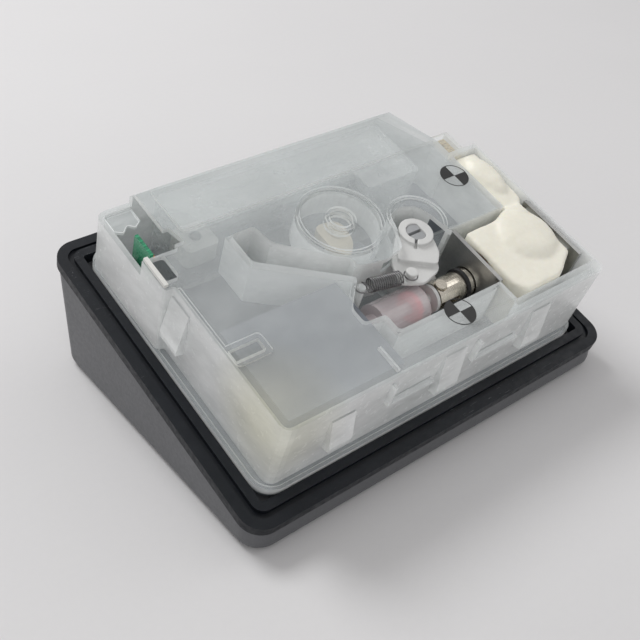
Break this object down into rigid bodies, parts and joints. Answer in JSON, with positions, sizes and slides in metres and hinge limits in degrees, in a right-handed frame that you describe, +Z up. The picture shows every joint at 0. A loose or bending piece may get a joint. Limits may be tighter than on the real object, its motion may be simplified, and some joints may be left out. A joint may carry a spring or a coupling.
{
  "type": "dishwasher detergent and rinse-aid dispenser",
  "caption": "Dishwasher door dispenser with a spring-lid detergent cup, rinse-aid tank, solenoid-driven release lever and valve behind a sealed frosted rear housing.",
  "frame": {"origin": "under the middle of the object, on the plane of the front face that it lies on", "axes": "+X along the long side, away from the detergent cup; +Y along the short side towards the deep edge of the bezel; +Z up, from the front face to the rear housing"},
  "size_m": [0.16, 0.12, 0.0727],
  "materials": {
    "bezel_grey": "satin grey moulding with a light ground texture",
    "seal_rubber": "matte black rubber with dust in its groove",
    "frosted_pp": "translucent milky polypropylene, satin",
    "inner_grey": "satin grey moulding",
    "lever_white": "satin white acetal",
    "clear_plastic": "clear, slightly pink",
    "valve_red": "red silicone",
    "black_rubber": "matte",
    "nickel_steel": "turned and nickel plated, bright",
    "plated_plate": "pressed and plated steel, satin",
    "spring_wire": "drawn spring wire, dark",
    "potting_cream": "cast resin, satin, uneven",
    "bobbin_white": "satin",
    "copper_wire": "enamelled copper winding",
    "brass_blade": "tinned brass blade",
    "cam_beige": "satin beige acetal",
    "board_green": "solder mask over glass laminate",
    "reed_amber": "amber",
    "black_plastic": "satin black",
    "float_foam": "closed-cell foam",
    "magnet_grey": "sintered ferrite"
  },
  "bodies": {
    "housing": {"front_bezel": "bezel_grey", "perimeter_seal": "seal_rubber", "inner_body": "inner_grey", "rear_housing": "frosted_pp", "rinse_reservoir": "frosted_pp", "solenoid_frame": "plated_plate", "solenoid_back_plate": "plated_plate", "coil_bobbin": "bobbin_white", "coil_winding": "copper_wire", "coil_potting": "potting_cream", "fixed_core": "nickel_steel", "coil_terminal_1": "brass_blade", "coil_terminal_2": "brass_blade", "valve_body": "clear_plastic", "shaft_seal": "black_rubber", "sensor_board": "board_green", "reed_switch": "reed_amber", "sensor_header": "black_plastic", "sensor_holder": "bobbin_white", "lid_hinge_pin": "nickel_steel", "lid_spring": "spring_wire", "cup_seal": "black_rubber", "level_lens": "clear_plastic", "return_spring": "spring_wire"},
    "plunger": {"plunger": "nickel_steel", "cross_pin": "nickel_steel", "plunger_bumper": "black_rubber", "valve_stem": "lever_white", "valve_seal": "valve_red"},
    "lever": {"release_lever": "lever_white", "lever_shaft": "bobbin_white", "latch_arm": "inner_grey"},
    "lid": {"detergent_lid": "bezel_grey"},
    "cap": {"rinse_cap": "bezel_grey", "cap_seal": "black_rubber"},
    "dial": {"dosage_dial": "bobbin_white", "dosage_cam": "cam_beige"},
    "float": {"level_float": "float_foam", "float_magnet": "magnet_grey"}
  },
  "joints": [
    {"name": "plunger_slide", "type": "slide", "parent": "housing", "child": "plunger", "axis": [1, 0, 0], "range_m": [0, 0.0025], "stiffness_N_per_m": 250, "deforming": ["return_spring"]},
    {"name": "lever_turn", "type": "hinge", "parent": "housing", "child": "lever", "pos_m": [0.02, -0.00909, 0.0369], "axis": [0, -0.2823, 0.9593], "range_deg": [0, 7.5]},
    {"name": "lid_hinge", "type": "hinge", "parent": "housing", "child": "lid", "pos_m": [-0.068, -0.02375, 0.0019], "axis": [0, 1, 0], "range_deg": [0, 100]},
    {"name": "cap_turn", "type": "hinge", "parent": "housing", "child": "cap", "pos_m": [0.038, 0.019, 0.003], "axis": [0, 0, -1], "range_deg": [0, 90]},
    {"name": "dosage_turn", "type": "hinge", "parent": "housing", "child": "dial", "pos_m": [-0.0025, 0.00784, 0.03146], "axis": [0, -0.2823, 0.9593], "range_deg": [0, 150]},
    {"name": "float_rise", "type": "slide", "parent": "housing", "child": "float", "axis": [0, -0.2823, 0.9593], "range_m": [0, 0.012]}
  ],
  "couplings": [
    {"joint": "lever_turn", "follows": "plunger_slide", "rad_per_m": 51.75}
  ]
}
